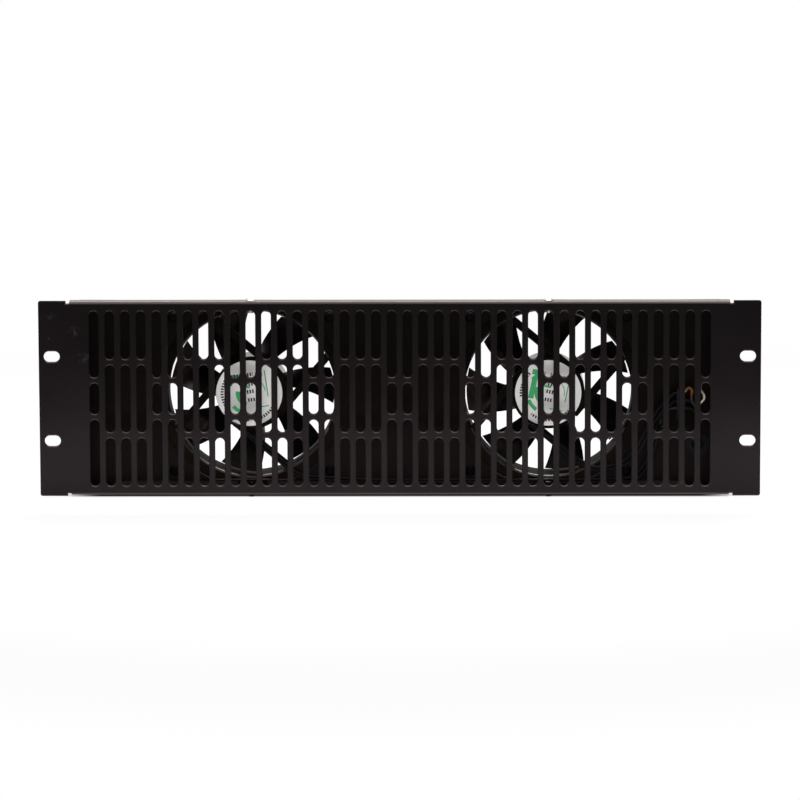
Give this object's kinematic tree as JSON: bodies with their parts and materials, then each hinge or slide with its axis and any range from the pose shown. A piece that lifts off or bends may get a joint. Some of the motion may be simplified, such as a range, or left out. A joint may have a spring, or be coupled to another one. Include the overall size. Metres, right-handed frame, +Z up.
{
  "type": "rack fan tray",
  "caption": "Ventilated fan tray for a 19 inch rack: a slotted front panel with rack ears, a plate behind it and axial fans that spin.",
  "frame": {"origin": "centre of the four rack slots, on the rear face of the ears", "axes": "+X to the right seen from the front, +Y back into the rack, +Z up"},
  "size_m": [0.4826, 0.0464, 0.1342],
  "materials": {
    "powder_coated_steel": "fine-textured black powder coat on sheet steel",
    "black_steel_plate": "black powder coat on sheet steel",
    "zinc_steel": "bright zinc plate",
    "black_steel_screws": "black zinc plate",
    "black_rubber": "moulded rubber",
    "black_nylon": "moulded nylon",
    "brass": "turned brass",
    "bearing_bronze": "oil-filled sintered bronze",
    "black_cast_aluminium": "die-cast aluminium, painted black",
    "black_fan_plastic": "glass-filled plastic with a slight gloss",
    "label_film": "silver-grey printed film",
    "core_steel": "stacked electrical steel",
    "coil_copper": "enamelled copper wire",
    "shaft_steel": "ground steel",
    "black_lead": "pvc insulation",
    "brown_wire": "pvc insulation",
    "blue_wire": "pvc insulation",
    "earth_wire": "green and yellow pvc insulation",
    "ivory_nylon": "natural nylon"
  },
  "bodies": {
    "tray": {"front_panel": "powder_coated_steel", "fan_plate": "black_steel_plate", "flange_screws": "zinc_steel", "flange_nuts": "zinc_steel", "cable_grommet": "black_rubber", "terminal_block": "black_nylon", "terminal_inserts": "brass", "clamp_screws": "zinc_steel", "block_screw": "zinc_steel", "block_nut": "zinc_steel", "wire_ferrules": "zinc_steel", "earth_stud": "zinc_steel", "earth_ring": "zinc_steel", "earth_nut": "zinc_steel", "chassis_earth_wire": "earth_wire", "supply_live_wire": "brown_wire", "supply_neutral_wire": "blue_wire", "supply_earth_wire": "earth_wire", "core_sleeves": "black_lead", "cable_tie": "ivory_nylon", "left_fan_frame": "black_cast_aluminium", "left_fan_screws": "black_steel_screws", "left_fan_nuts": "black_steel_screws", "left_fan_label": "label_film", "left_bearing_tube": "brass", "left_front_bearing": "bearing_bronze", "left_rear_bearing": "bearing_bronze", "left_stator_core": "core_steel", "left_stator_coils": "coil_copper", "left_fan_lead": "black_lead", "right_fan_frame": "black_cast_aluminium", "right_fan_screws": "black_steel_screws", "right_fan_nuts": "black_steel_screws", "right_fan_label": "label_film", "right_bearing_tube": "brass", "right_front_bearing": "bearing_bronze", "right_rear_bearing": "bearing_bronze", "right_stator_core": "core_steel", "right_stator_coils": "coil_copper", "right_fan_lead": "black_lead"},
    "left_rotor": {"left_impeller": "black_fan_plastic", "left_rotor_ring": "core_steel", "left_shaft": "shaft_steel", "left_retaining_clip": "shaft_steel"},
    "right_rotor": {"right_impeller": "black_fan_plastic", "right_rotor_ring": "core_steel", "right_shaft": "shaft_steel", "right_retaining_clip": "shaft_steel"}
  },
  "joints": [
    {"name": "left_fan_spin", "type": "hinge", "parent": "tray", "child": "left_rotor", "pos_m": [-0.09956, 0.0195, 0], "axis": [0, 1, 0], "continuous": true},
    {"name": "right_fan_spin", "type": "hinge", "parent": "tray", "child": "right_rotor", "pos_m": [0.09956, 0.0195, 0], "axis": [0, 1, 0], "continuous": true}
  ]
}
